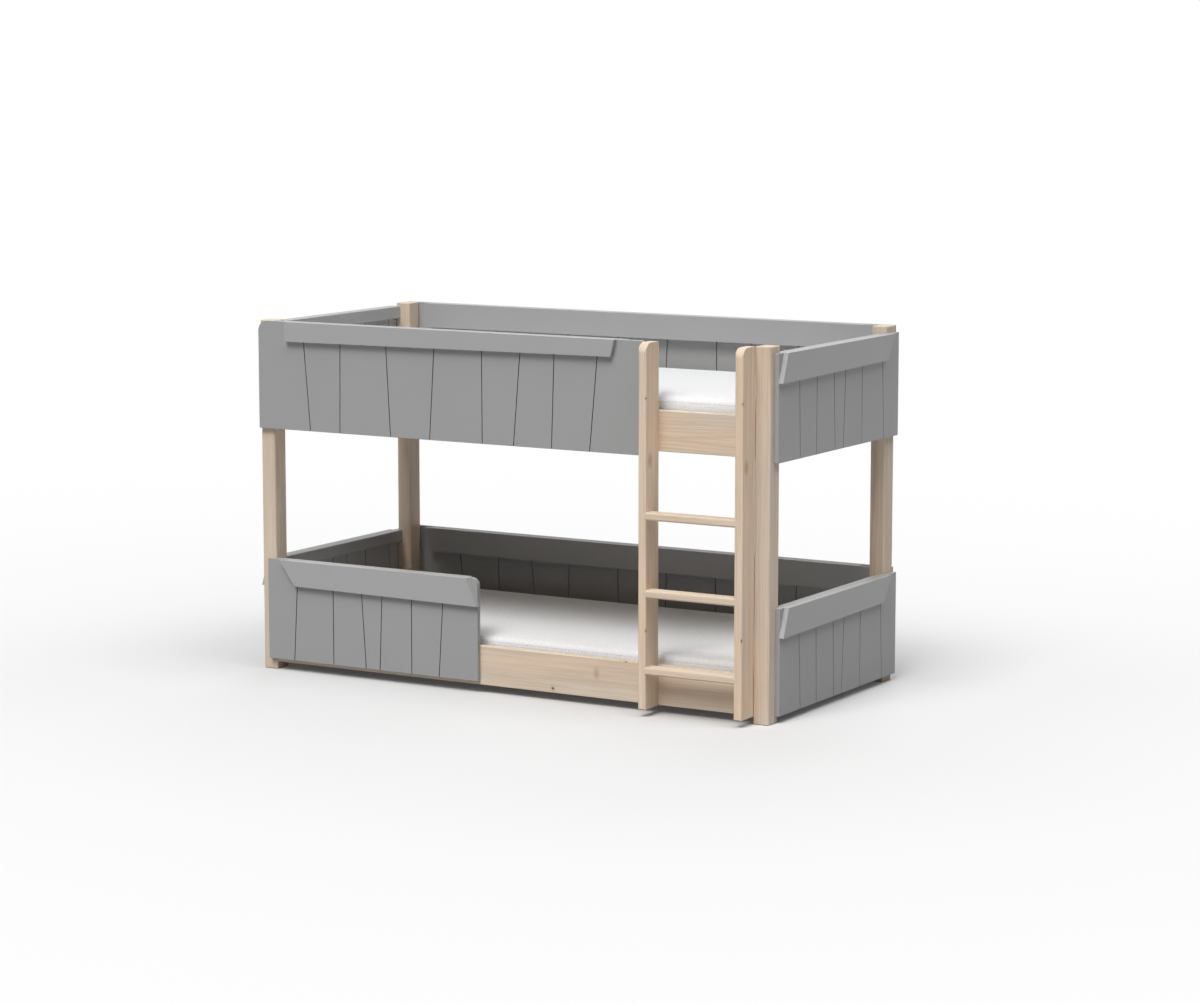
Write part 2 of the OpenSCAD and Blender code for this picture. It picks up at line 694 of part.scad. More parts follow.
// Outline of a mattress in plan, drawn in by inset all round and by draw in the middle of each side
arc_steps = 4;
long_steps = 9;
short_steps = 4;
least_corner = 6;
function arc_points(cx, cy, r, start) =
    [for (i = [0:arc_steps]) let (t = start + 90 * i / arc_steps) [cx + r * cos(t), cy + r * sin(t)]];
function between(p, q, n) = [for (i = [1:n - 1]) p + (q - p) * i / n];
function plan(a, b, r) =
    let (ne = arc_points(a - r, b - r, r, 0), nw = arc_points(r - a, b - r, r, 90),
         sw = arc_points(r - a, r - b, r, 180), se = arc_points(a - r, r - b, r, 270))
    concat(ne, between(ne[arc_steps], nw[0], long_steps), nw, between(nw[arc_steps], sw[0], short_steps),
           sw, between(sw[arc_steps], se[0], long_steps), se, between(se[arc_steps], ne[0], short_steps));
function pull(s) = mattress_draw * pow(1 - min(1, s * s), 2);
function drawn_in(p, a, b) = [p[0] * (1 - pull(p[1] / b) / a), p[1] * (1 - pull(p[0] / a) / b)];
function mattress_ring(inset, z) =
    let (a = mattress_l / 2, b = mattress_w / 2, r = max(least_corner, mattress_corner - inset))
    [for (p = plan(a - inset, b - inset, r)) let (q = drawn_in(p, a, b)) [q[0], q[1], z]];

// Section of the mattress as [inset, height] from the flat underside to the crowned top
edge_steps = 4;
crown_insets = [0.13, 0.29, 0.51, 0.76, 0.955] * mattress_w / 2;
function crown_at(inset) =
    let (s = 1 - min(1, (inset - mattress_r) / (mattress_w / 2 - mattress_r))) 1 - s * s;
mattress_section = concat(
    [for (i = [0:edge_steps]) let (t = 90 * i / edge_steps)
        [mattress_r * (1 - sin(t)), mattress_r * (1 - cos(t))]],
    [[0, mattress_t / 2]],
    [for (i = [0:edge_steps]) let (t = 90 * i / edge_steps, top = mattress_t - mattress_crown)
        [mattress_r * (1 - cos(t)), top - mattress_r * (1 - sin(t))]],
    [for (inset = crown_insets) [inset, mattress_t - mattress_crown * (1 - crown_at(inset))]]
);
module mattress(slat_z) {
    rings = [for (s = mattress_section) mattress_ring(s[0], s[1])];
    m = len(rings[0]);
    n = len(rings);
    last = m * n;
    points = concat([for (ring = rings) for (p = ring) p], [[0, 0, 0], [0, 0, mattress_t]]);
    walls = [for (j = [0:n - 2]) for (i = [0:m - 1]) let (k = (i + 1) % m)
        each [[j * m + i, (j + 1) * m + i, j * m + k], [j * m + k, (j + 1) * m + i, (j + 1) * m + k]]];
    base = [for (i = [0:m - 1]) [last, i, (i + 1) % m]];
    top = [for (i = [0:m - 1]) [last + 1, (n - 1) * m + (i + 1) % m, (n - 1) * m + i]];
    color(sheet_white) placed() translate([0, frame_d / 2, slat_z + slat_t + mattress_gap])
        polyhedron(points, concat(walls, base, top));
}
module upper_mattress() mattress(upper_slat_z);
module lower_mattress() mattress(lower_slat_z);

// ---------------------------------------------------------------- fastener groups

module rail_studs() color(zinc) placed() all_joints() joint_stud();
module half_moon_washers() color(zinc) placed() all_joints() joint_washer();
module rail_nuts() color(zinc) placed() all_joints() joint_nut();

module panel_screws() color(zinc) placed() {
    upper_front_screws() wood_screw(rail_screw_l);
    lower_front_screws() wood_screw(rail_screw_l);
    post_front_screws(tall_panel_z, tall_panel_h) wood_screw(post_screw_l);
    post_front_screws(lower_front_z, panel_h) wood_screw(post_screw_l);
    for (right = [false, true]) on_side(right) post_end_screws() wood_screw(post_screw_l);
    for (z = levels) back_screws(z) wood_screw(back_screw_l);
}

module slat_base_screws() color(zinc) placed() {
    for (z = [lower_slat_z, upper_slat_z]) {
        cleat_screw_places(z) wood_screw(cleat_screw_l);
        slat_screw_places(z) wood_screw(slat_screw_l);
    }
}

module ladder_bolts() color(zinc) placed() ladder_bolt_places() translate([0, rail_t - ladder_sink, 0]) {
    rotate([-90, 0, 0]) cylinder(h = ladder_head_h, r = ladder_head_r);
    rotate([90, 0, 0]) cylinder(h = ladder_bolt_l, r = ladder_bolt_r);
}

module ladder_inserts() color(zinc) placed() ladder_bolt_places() rotate([90, 0, 0]) difference() {
    cylinder(h = insert_l, r = insert_r);
    translate([0, 0, -over]) cylinder(h = insert_l + 2 * over, r = ladder_bolt_r);
}

module rung_dowels() color(beech) placed() for (i = rungs) rung_dowels_at(i);

// ---------------------------------------------------------------- parts

front_left_post();
front_right_post();
rear_left_post();
rear_right_post();
upper_front_rail();
upper_rear_rail();
lower_front_rail();
lower_rear_rail();
upper_left_end_rail();
upper_right_end_rail();
lower_left_end_rail();
lower_right_end_rail();
upper_front_cleat();
upper_rear_cleat();
lower_front_cleat();
lower_rear_cleat();
upper_slats();
lower_slats();
upper_slat_tapes();
lower_slat_tapes();
upper_front_panel();
upper_back_panel();
upper_left_end_panel();
upper_right_end_panel();
lower_front_panel();
lower_back_panel();
lower_left_end_panel();
lower_right_end_panel();
upper_front_trim();
upper_back_trim();
upper_left_end_trim();
upper_right_end_trim();
lower_front_trim();
lower_back_trim();
lower_left_end_trim();
lower_right_end_trim();
upper_front_band();
upper_back_band();
upper_left_end_band();
upper_right_end_band();
lower_front_band();
lower_back_band();
lower_left_end_band();
lower_right_end_band();
ladder_left_stile();
ladder_right_stile();
bottom_rung();
middle_rung();
top_rung();
upper_mattress();
lower_mattress();
rail_studs();
half_moon_washers();
rail_nuts();
panel_screws();
slat_base_screws();
ladder_bolts();
ladder_inserts();
rung_dowels();
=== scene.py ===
"""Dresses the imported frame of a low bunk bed: lacquered pine, satin grey boards, woven mattress covers."""
import math

import bmesh
import bpy
from bpy.props import FloatProperty, FloatVectorProperty, IntProperty, PointerProperty
from bpy.types import Operator, Panel, PropertyGroup
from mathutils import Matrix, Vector


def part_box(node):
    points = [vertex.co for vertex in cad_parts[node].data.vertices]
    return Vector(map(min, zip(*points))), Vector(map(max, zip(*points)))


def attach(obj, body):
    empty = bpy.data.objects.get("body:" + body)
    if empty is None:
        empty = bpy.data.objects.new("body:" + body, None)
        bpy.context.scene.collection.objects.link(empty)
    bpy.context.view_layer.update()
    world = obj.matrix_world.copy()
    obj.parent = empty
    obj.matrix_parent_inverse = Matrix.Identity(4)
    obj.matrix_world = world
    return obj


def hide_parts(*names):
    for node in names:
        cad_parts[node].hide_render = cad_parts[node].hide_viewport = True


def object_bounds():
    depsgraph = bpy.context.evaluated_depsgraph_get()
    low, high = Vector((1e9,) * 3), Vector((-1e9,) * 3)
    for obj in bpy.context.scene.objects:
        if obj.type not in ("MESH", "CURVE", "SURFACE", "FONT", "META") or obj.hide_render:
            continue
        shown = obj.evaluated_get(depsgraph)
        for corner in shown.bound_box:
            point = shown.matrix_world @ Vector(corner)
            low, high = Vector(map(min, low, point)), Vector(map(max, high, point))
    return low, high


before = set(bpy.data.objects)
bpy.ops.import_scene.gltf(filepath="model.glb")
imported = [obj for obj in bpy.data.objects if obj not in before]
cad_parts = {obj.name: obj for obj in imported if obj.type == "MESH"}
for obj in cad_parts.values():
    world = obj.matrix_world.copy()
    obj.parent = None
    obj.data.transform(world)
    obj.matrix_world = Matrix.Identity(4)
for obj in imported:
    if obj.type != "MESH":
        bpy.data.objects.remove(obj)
cad_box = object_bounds()

bl_info = {
    "name": "Low Bunk Bed",
    "version": (1, 0, 0),
    "blender": (4, 5, 0),
    "location": "View3D > Sidebar > Bunk Bed",
    "description": "Finishes for a low bunk bed of pine and painted board with two mattresses",
    "category": "Object",
}

LEVELS = ("upper", "lower")
PANEL_SIDES = ("front", "back", "left_end", "right_end")

# For grain that runs along an axis: the two axes across it, then the axis itself
GRAIN_AXES = {"X": ("Y", "Z", "X"), "Y": ("X", "Z", "Y"), "Z": ("X", "Y", "Z")}

# Direction of each post's pith in degrees, its distance in metres, and the tone of the post's wood; the rear
# posts' darker tone is painted shade, for the shade under the upper bunk
POSTS = {
    "front_left_post": (200, 0.09, (0.95, 0.95, 0.96)),
    "front_right_post": (35, 0.11, (0.92, 0.92, 0.93)),
    "rear_left_post": (300, 0.08, (0.84, 0.85, 0.86)),
    "rear_right_post": (120, 0.10, (0.83, 0.84, 0.85)),
}
STILE_TONE = (1.06, 1.04, 1.02)

# Depth in metres under a board's face from which on its grooves get painted shade
FACE_SKIN = 0.0008

# Frames and inner pressure of the cloth that swells a mattress
CLOTH_FRAMES = 20
CLOTH_PRESSURE = 4

# Least distance in metres from a mattress's cover to the faces of its box
BOX_MARGIN = 0.0002

# Distances in metres from the bed's feet down to the floor, and from the bed to the lights
FLOOR_GAP = 0.0005
LIGHT_DISTANCE = 6

# Each light's setting, its turn to the right from the front, and its lift above the floor, in degrees
LIGHTS = (
    ("front_light", 0, 50),
    ("high_light", 0, 62),
    ("corner_light", 35, 62),
    ("right_light", 90, 60),
    ("back_light", 195, 24),
)

WHITE = (1, 1, 1, 1)


# ---------------------------------------------------------------- settings


class BUNK_PG_timber(PropertyGroup):
    """Pine of the posts, rails, slats and ladder"""

    pale: FloatVectorProperty(
        name="Pale wood", description="Colour of the wood between its grain lines",
        subtype="COLOR", size=3, min=0, max=1, default=(0.815, 0.69, 0.56))
    dark: FloatVectorProperty(
        name="Grain lines", description="Colour of the grain lines",
        subtype="COLOR", size=3, min=0, max=1, default=(0.59, 0.465, 0.345))
    knot: FloatVectorProperty(
        name="Knots", description="Colour of the heart of a knot",
        subtype="COLOR", size=3, min=0, max=1, default=(0.20, 0.095, 0.04))
    halo: FloatVectorProperty(
        name="Knot rim", description="Colour of the wood round a knot",
        subtype="COLOR", size=3, min=0, max=1, default=(0.47, 0.285, 0.145))
    ring: FloatProperty(
        name="Ring width", description="Width of one year's ring",
        unit="LENGTH", min=0.001, max=0.02, default=0.0042)
    roughness: FloatProperty(
        name="Roughness", description="Roughness of the lacquer",
        subtype="FACTOR", min=0, max=1, default=0.48)


class BUNK_PG_paint(PropertyGroup):
    """Paint of the panels, trims and bands"""

    colour: FloatVectorProperty(
        name="Paint", description="Colour of the painted boards",
        subtype="COLOR", size=3, min=0, max=1, default=(0.371, 0.371, 0.371))
    roughness: FloatProperty(
        name="Roughness", description="Roughness of the paint",
        subtype="FACTOR", min=0, max=1, default=0.42)
    # Painted shade: how much the paint is darkened down in the grooves, where shade falls
    painted_groove_shade: FloatProperty(
        name="Groove shade", description="How much darker the paint is down in the grooves",
        subtype="FACTOR", min=0, max=1, default=0.75)
    # Painted light: the outer trims are painted lighter than the panels, in place of the shade that they
    # cast on the panels below them
    trim_painted_light: FloatProperty(
        name="Trim lift", description="How much lighter the outer trims are painted than the panels",
        min=1, max=2, default=1.12)
    plain_end: FloatProperty(
        name="Plain end", description="Length at each end of a panel that has no groove",
        unit="LENGTH", min=0, max=0.1, default=0.045)


class BUNK_PG_mattress(PropertyGroup):
    """Mattresses and their woven covers"""

    cover: FloatVectorProperty(
        name="Cover", description="Colour of the woven cover",
        subtype="COLOR", size=3, min=0, max=1, default=(0.86, 0.865, 0.87))
    pitch: FloatProperty(
        name="Weave pitch", description="Distance from thread to thread",
        unit="LENGTH", min=0.0004, max=0.01, default=0.0016)
    speckle: FloatProperty(
        name="Speckle", description="How much the threads differ in brightness",
        min=0, max=2, default=0.5)
    start_in: FloatProperty(
        name="Start inset", description="How much smaller each mattress starts before it swells",
        unit="LENGTH", min=0, max=0.02, default=0.0015)
    swell: FloatProperty(
        name="Most swelling", description="The furthest that a point of the cover may move",
        unit="LENGTH", min=0, max=0.03, default=0.004)
    voxel: FloatProperty(
        name="Mesh size", description="Size of the cells that the cover is simulated with",
        unit="LENGTH", min=0.005, max=0.04, default=0.013)
    soften: IntProperty(
        name="Soft edges", description="How many times the edges of the cover are smoothed",
        min=0, max=50, default=5)
    seam_drop: FloatProperty(
        name="Seam drop", description="Distance of the sewn seam below the top",
        unit="LENGTH", min=0.005, max=0.05, default=0.029)


class BUNK_PG_stage(PropertyGroup):
    """Camera, floor and light"""

    camera_place: FloatVectorProperty(
        name="Camera", description="Place of the camera",
        subtype="TRANSLATION", size=3, default=(6.3354, -10.5813, 2.3872))
    camera_down: FloatProperty(
        name="Looking down", description="How far the camera looks below the horizon",
        subtype="ANGLE", default=math.radians(8.02))
    camera_turn: FloatProperty(
        name="Turn", description="How far the camera is turned to the left of the bed's depth",
        subtype="ANGLE", default=math.radians(30.39))
    lens: FloatProperty(
        name="Lens", description="Focal length on a sensor 36 mm wide", min=10, max=300, default=101.4)
    floor: FloatVectorProperty(
        name="Floor", description="Colour of the floor as the camera sees it",
        subtype="COLOR", size=3, min=0, max=1, default=(0.69, 0.69, 0.69))
    bounce: FloatVectorProperty(
        name="Bounce", description="Colour of the light that the floor throws back on the bed",
        subtype="COLOR", size=3, min=0, max=1, default=(0.40, 0.40, 0.40))
    floor_radius: FloatProperty(
        name="Floor radius", description="Radius of the floor", unit="LENGTH", min=5, max=100, default=40)
    front_light: FloatProperty(
        name="Front light", description="Strength of the soft light above the front",
        min=0, max=20, default=1.6)
    high_light: FloatProperty(
        name="High light", description="Strength of the soft light higher above the front",
        min=0, max=20, default=1.1)
    corner_light: FloatProperty(
        name="Corner light", description="Strength of the soft light above the front right corner",
        min=0, max=20, default=0.3)
    right_light: FloatProperty(
        name="Right light", description="Strength of the soft light above the right end",
        min=0, max=20, default=1.06)
    back_light: FloatProperty(
        name="Back light", description="Strength of the soft light behind the back",
        min=0, max=20, default=0.7)
    softness: FloatProperty(
        name="Softness", description="How wide each light is seen from the bed",
        subtype="ANGLE", min=0, max=math.pi, default=math.radians(30))
    sky: FloatProperty(
        name="Sky", description="Strength of the even light from above the horizon",
        min=0, max=10, default=0.02)
    haze: FloatProperty(
        name="Haze", description="How much white lies over the floor close to the bed",
        subtype="FACTOR", min=0, max=1, default=0.045)
    fade_reach: FloatProperty(
        name="Fade reach", description="Distance over which most of the floor turns white",
        unit="LENGTH", min=0.1, max=50, default=1.3)
    floor_sides: IntProperty(
        name="Floor sides", description="Number of sides of the round floor", min=12, max=256, default=96)


def settings(group):
    return getattr(bpy.context.scene, "bunk_" + group)


# ---------------------------------------------------------------- shader building


def rgba(colour):
    """A colour as a socket takes it: another socket as it is, or three numbers and full cover"""
    return colour if isinstance(colour, bpy.types.NodeSocket) else (*colour[:3], 1)


class Tree:
    """Short hand for building a node tree"""

    def __init__(self, tree):
        self.tree = tree

    def feed(self, node, inputs):
        """Links a node's inputs to sockets, or sets them to values"""
        for name, value in inputs.items():
            socket = node.inputs[name]
            if isinstance(value, bpy.types.NodeSocket):
                self.tree.links.new(value, socket)
            else:
                socket.default_value = value

    def node(self, kind, inputs=None, **props):
        made = self.tree.nodes.new(kind)
        for name, value in props.items():
            setattr(made, name, value)
        self.feed(made, inputs or {})
        return made

    def group(self, group, inputs):
        return self.node("ShaderNodeGroup", inputs, node_tree=group).outputs

    def math(self, operation, a, b=0.0, c=0.0, clamp=False):
        made = self.node("ShaderNodeMath", {0: a, 1: b, 2: c}, operation=operation, use_clamp=clamp)
        return made.outputs[0]

    def vector(self, operation, a, b=None, scale=None):
        inputs = {0: a}
        if b is not None:
            inputs[1] = b
        if scale is not None:
            inputs["Scale"] = scale
        made = self.node("ShaderNodeVectorMath", inputs, operation=operation)
        return made.outputs["Value" if operation == "LENGTH" else "Vector"]

    def split(self, vector):
        return self.node("ShaderNodeSeparateXYZ", {0: vector}).outputs

    def smooth(self, value, low, high, start=0.0, end=1.0):
        """Goes smoothly from start to end while a value goes from low to high"""
        made = self.node(
            "ShaderNodeMapRange",
            {"Value": value, "From Min": low, "From Max": high, "To Min": start, "To Max": end},
            interpolation_type="SMOOTHSTEP")
        return made.outputs["Result"]

    def noise(self, vector, scale, detail=2.0, rough=0.5):
        inputs = {"Vector": vector, "Scale": scale, "Detail": detail, "Roughness": rough}
        return self.node("ShaderNodeTexNoise", inputs).outputs

    def wave(self, value):
        """The size of a sine: one hump each time that a value grows by pi"""
        return self.math("ABSOLUTE", self.math("SINE", value))

    def mix(self, factor, a, b, blend="MIX"):
        """A colour between two colours"""
        made = self.node(
            "ShaderNodeMix", {0: factor, 6: rgba(a), 7: rgba(b)}, data_type="RGBA", blend_type=blend)
        return made.outputs[2]

    def tint(self, colour, tint):
        """A colour multiplied by another"""
        return self.mix(1.0, colour, tint, "MULTIPLY")

    def grey(self, value):
        return self.node("ShaderNodeCombineColor", {0: value, 1: value, 2: value}).outputs[0]

    def bump(self, height, strength, depth):
        """The normal of a surface with a relief of a depth in metres"""
        made = self.node("ShaderNodeBump", {"Strength": strength, "Distance": depth, "Height": height})
        return made.outputs[0]

    def seen_directly(self, path):
        """1 for the rays that show the background: those of the camera, of mirrors and of glass"""
        return self.math("MAXIMUM", path["Is Camera Ray"],
                         self.math("MAXIMUM", path["Is Glossy Ray"], path["Is Transmission Ray"]))


def start_group(name, inputs, outputs):
    """Starts a shader node group with named sockets and gives its tree, its inputs and its output node"""
    group = bpy.data.node_groups.new(name, "ShaderNodeTree")
    for label, kind, default in inputs:
        socket = group.interface.new_socket(name=label, in_out="INPUT", socket_type=kind)
        if default is not None:
            socket.default_value = default
    for label, kind in outputs:
        group.interface.new_socket(name=label, in_out="OUTPUT", socket_type=kind)
    tree = Tree(group)
    return tree, tree.node("NodeGroupInput").outputs, tree.node("NodeGroupOutput")


def timber_grain_group():
    """Year rings round a pith that runs along Z, fine fibres, and slow changes of tone"""
    name = "Timber Grain"
    if name in bpy.data.node_groups:
        return bpy.data.node_groups[name]
    t, given, out = start_group(
        name,
        [("Place", "NodeSocketVector", None),
         ("Pale", "NodeSocketColor", (0.74, 0.58, 0.4, 1)),
         ("Dark", "NodeSocketColor", (0.58, 0.4, 0.24, 1)),
         ("Ring Width", "NodeSocketFloat", 0.004),
         ("Seed", "NodeSocketFloat", 0.0)],
        [("Color", "NodeSocketColor"),
         ("Roughness Change", "NodeSocketFloat"),
         ("Height", "NodeSocketFloat")])
    place = given["Place"]
    seed = given["Seed"]
    shift = t.node("ShaderNodeCombineXYZ", {"X": seed, "Y": seed, "Z": seed}).outputs[0]

    def streaks(across, along, detail=2.0, rough=0.5):
        """Noise drawn out along the grain, with a number of waves in a metre across and along it"""
        drawn_out = t.vector("MULTIPLY", t.vector("ADD", place, shift), (across, across, along))
        return t.noise(drawn_out, 1.0, detail, rough)["Fac"]

    # The rings sway slowly, and much less along the piece than across it
    long_place = t.vector("MULTIPLY", place, (1.0, 1.0, 0.13))
    sway = t.noise(t.vector("ADD", long_place, shift), 5.0, detail=3.0)["Color"]
    offset = t.vector("SCALE", t.vector("SUBTRACT", sway, (0.5, 0.5, 0.5)), scale=0.045)
    bent = t.split(t.vector("ADD", place, offset))
    squares = t.math("ADD", t.math("MULTIPLY", bent[0], bent[0]), t.math("MULTIPLY", bent[1], bent[1]))

    # Each ring darkens slowly to its late wood and ends at once, and each year has its own strength
    rings_out = t.math("DIVIDE", t.math("SQRT", squares), given["Ring Width"])
    within = t.math("FRACT", rings_out)
    late = t.math("MULTIPLY", t.smooth(within, 0.30, 0.90), t.smooth(within, 0.90, 1.0, start=1.0, end=0.0))
    year = t.node("ShaderNodeTexWhiteNoise", {"W": t.math("FLOOR", rings_out)}, noise_dimensions="1D")
    ring = t.math("MULTIPLY", late, t.math("MULTIPLY_ADD", year.outputs[0], 0.45, 0.10))

    fibre = streaks(across=420.0, along=9.0, detail=3.0, rough=0.6)
    thread = streaks(across=210.0, along=3.4, detail=3.0, rough=0.6)
    streak = streaks(across=60.0, along=1.5)
    patch = streaks(across=14.0, along=3.5)
    tone = streaks(across=9.0, along=1.6)

    base = t.mix(ring, given["Pale"], given["Dark"])
    warm = t.mix(t.smooth(tone, 0.38, 0.66, end=0.70), base, t.tint(base, (1.01, 0.92, 0.84)))
    greyed = t.mix(t.smooth(patch, 0.42, 0.66, end=0.60), warm, t.tint(warm, (0.90, 0.93, 0.97)))
    streaked = t.mix(t.smooth(streak, 0.45, 0.72, end=0.34), greyed, given["Dark"])
    lined = t.mix(t.smooth(thread, 0.42, 0.68, end=0.46), streaked, given["Dark"])
    t.feed(out, {
        "Color": t.tint(lined, t.grey(t.math("MULTIPLY_ADD", fibre, 0.16, 0.92))),
        "Roughness Change": t.math("MULTIPLY_ADD", fibre, 0.16, -0.08),
        "Height": t.math("ADD", t.math("MULTIPLY", fibre, 0.7), t.math("MULTIPLY", ring, -0.3)),
    })
    return t.tree


def knot_group():
    """A knot as a spot at a place, with a dark heart inside a brown rim with rings"""
    name = "Knot"
    if name in bpy.data.node_groups:
        return bpy.data.node_groups[name]
    t, given, out = start_group(
        name,
        [("Place", "NodeSocketVector", None),
         ("Centre", "NodeSocketVector", (0, 0, 0)),
         ("Half Size", "NodeSocketVector", (0.006, 0.006, 0.01))],
        [("Heart", "NodeSocketFloat"), ("Halo", "NodeSocketFloat")])
    from_centre = t.vector("SUBTRACT", given["Place"], given["Centre"])
    uneven = t.noise(given["Place"], 90.0, detail=1.0)["Color"]
    wobble = t.vector("SCALE", t.vector("SUBTRACT", uneven, (0.5, 0.5, 0.5)), scale=0.006)
    away = t.vector("LENGTH", t.vector("DIVIDE", t.vector("ADD", from_centre, wobble), given["Half Size"]))
    lines = t.math("MULTIPLY_ADD", t.math("SINE", t.math("MULTIPLY", away, 8.0)), 0.32, 0.68)
    t.feed(out, {
        "Heart": t.smooth(away, 0.75, 1.05, start=1.0, end=0.0),
        "Halo": t.math("MULTIPLY", t.smooth(away, 0.9, 3.2, start=1.0, end=0.0), lines),
    })
    return t.tree


def surface_tone_group():
    """Slow, faint changes of brightness, and a fine ripple, over a finished surface"""
    name = "Surface Tone"
    if name in bpy.data.node_groups:
        return bpy.data.node_groups[name]
    t, given, out = start_group(
        name,
        [("Place", "NodeSocketVector", None),
         ("Color", "NodeSocketColor", (0.5, 0.5, 0.5, 1)),
         ("Depth", "NodeSocketFloat", 0.03),
         ("Ripple Size", "NodeSocketFloat", 0.002)],
        [("Color", "NodeSocketColor"),
         ("Roughness Change", "NodeSocketFloat"),
         ("Height", "NodeSocketFloat")])
    broad = t.noise(given["Place"], 3.0, detail=3.0)["Fac"]
    change = t.math("MULTIPLY", t.math("SUBTRACT", broad, 0.5), given["Depth"])
    t.feed(out, {
        "Color": t.tint(given["Color"], t.grey(t.math("ADD", change, 1.0))),
        "Roughness Change": t.math("MULTIPLY", change, 2.0),
        "Height": t.noise(given["Place"], t.math("DIVIDE", 1.0, given["Ripple Size"]))["Fac"],
    })
    return t.tree


def groove_group():
    """Tells the inside of a board's grooves from its faces: what lies deeper than a rim inside its box"""
    name = "Groove"
    if name in bpy.data.node_groups:
        return bpy.data.node_groups[name]
    t, given, out = start_group(
        name,
        [("Place", "NodeSocketVector", None),
         ("Centre", "NodeSocketVector", (0, 0, 0)),
         ("Half Size", "NodeSocketVector", (0.5, 0.009, 0.1))],
        [("Mask", "NodeSocketFloat")])
    away = t.vector("ABSOLUTE", t.vector("SUBTRACT", given["Place"], given["Centre"]))
    room = t.split(t.vector("SUBTRACT", given["Half Size"], away))
    least = t.math("MINIMUM", room[0], t.math("MINIMUM", room[1], room[2]))
    t.feed(out, {"Mask": t.smooth(least, 0.0, 0.0016)})
    return t.tree


def weave_group():
    """Plain weave of threads, laid on the top and on the sides by the way each face points"""
    name = "Weave"
    if name in bpy.data.node_groups:
        return bpy.data.node_groups[name]
    t, given, out = start_group(
        name,
        [("Place", "NodeSocketVector", None),
         ("Facing", "NodeSocketVector", None),
         ("Pitch", "NodeSocketFloat", 0.0015),
         ("Speckle", "NodeSocketFloat", 0.08)],
        [("Shade", "NodeSocketFloat"), ("Height", "NodeSocketFloat")])
    turns = t.math("DIVIDE", math.pi, given["Pitch"])
    place = t.split(t.vector("SCALE", given["Place"], scale=turns))
    facing = t.split(t.vector("ABSOLUTE", given["Facing"]))

    def cloth(one, other, normal):
        """Threads along two axes, on the faces that point along the third"""
        crossings = t.math("MULTIPLY", t.wave(place[one]), t.wave(place[other]))
        return t.math("MULTIPLY", crossings, facing[normal])

    top, side, end = cloth("X", "Y", "Z"), cloth("X", "Z", "Y"), cloth("Y", "Z", "X")
    threads = t.math("ADD", t.math("ADD", top, side), end)
    fleck_place = t.vector("MULTIPLY", given["Place"], (1.3, 1.0, 1.0))
    fleck = t.noise(fleck_place, 140.0, detail=3.0, rough=0.7)["Fac"]
    flecked = t.math("MULTIPLY", t.math("SUBTRACT", fleck, 0.5), given["Speckle"])
    t.feed(out, {
        "Shade": t.math("ADD", t.math("MULTIPLY_ADD", threads, 0.06, 0.96), flecked),
        "Height": t.math("ADD", threads, t.math("MULTIPLY", fleck, 0.5)),
    })
    return t.tree


# ---------------------------------------------------------------- materials


def start_material(name):
    """A material with one Principled shader, and its tree and texture coordinates"""
    material = bpy.data.materials.new(name)
    material.use_nodes = True
    material.node_tree.nodes.clear()
    t = Tree(material.node_tree)
    shader = t.node("ShaderNodeBsdfPrincipled")
    t.node("ShaderNodeOutputMaterial", {"Surface": shader.outputs[0]})
    return material, t, shader, t.node("ShaderNodeTexCoord").outputs


def timber_material(name, along, pith, seed, knots=(), tone=(1.0, 1.0, 1.0)):
    """Lacquered pine whose grain runs along an axis, round a pith given in the other two coordinates"""
    look = settings("timber")
    material, t, shader, coords = start_material(name)
    place = coords["Object"]
    axes = t.split(place)
    turned = t.node("ShaderNodeCombineXYZ", {i: axes[axis] for i, axis in enumerate(GRAIN_AXES[along])})
    grain = t.group(timber_grain_group(), {
        "Place": t.vector("SUBTRACT", turned.outputs[0], (*pith, 0.0)),
        "Pale": rgba([a * b for a, b in zip(look.pale, tone)]),
        "Dark": rgba([a * b for a, b in zip(look.dark, tone)]),
        "Ring Width": look.ring,
        "Seed": seed,
    })
    colour = grain["Color"]
    for centre, half, heart, halo in knots:
        knot = t.group(knot_group(), {"Place": place, "Centre": centre, "Half Size": half})
        colour = t.mix(t.math("MULTIPLY", knot["Halo"], halo), colour, look.halo)
        colour = t.mix(t.math("MULTIPLY", knot["Heart"], heart), colour, look.knot)
    t.feed(shader, {
        "Base Color": colour,
        "Roughness": t.math("ADD", grain["Roughness Change"], look.roughness, clamp=True),
        "Normal": t.bump(grain["Height"], strength=0.25, depth=0.0004),
        "Specular IOR Level": 0.42,
    })
    return material


def paint_material(name, board=None, lift=1.0):
    """Satin paint, its brightness multiplied by a lift that paints light on the outer trims, and darker down
    in the grooves of a board by painted shade
    """
    look = settings("paint")
    material, t, shader, coords = start_material(name)
    tone = t.group(surface_tone_group(), {
        "Place": coords["Object"],
        "Color": rgba([part * lift for part in look.colour]),
        "Depth": 0.05,
        "Ripple Size": 0.0022,
    })
    colour = tone["Color"]
    if board:
        low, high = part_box(board)
        rim = Vector((FACE_SKIN, FACE_SKIN, FACE_SKIN))
        rim[1 if "end" in board else 0] = look.plain_end
        groove = t.group(groove_group(), {
            "Place": coords["Object"],
            "Centre": (low + high) / 2,
            "Half Size": (high - low) / 2 - rim,
        })
        # Painted shade: the paint is darkened down in the grooves
        colour = t.mix(t.math("MULTIPLY", groove["Mask"], look.painted_groove_shade), colour, (0, 0, 0))
    t.feed(shader, {
        "Base Color": colour,
        "Roughness": t.math("ADD", tone["Roughness Change"], look.roughness, clamp=True),
        "Normal": t.bump(tone["Height"], strength=0.12, depth=0.0003),
        "Specular IOR Level": 0.4,
    })
    return material


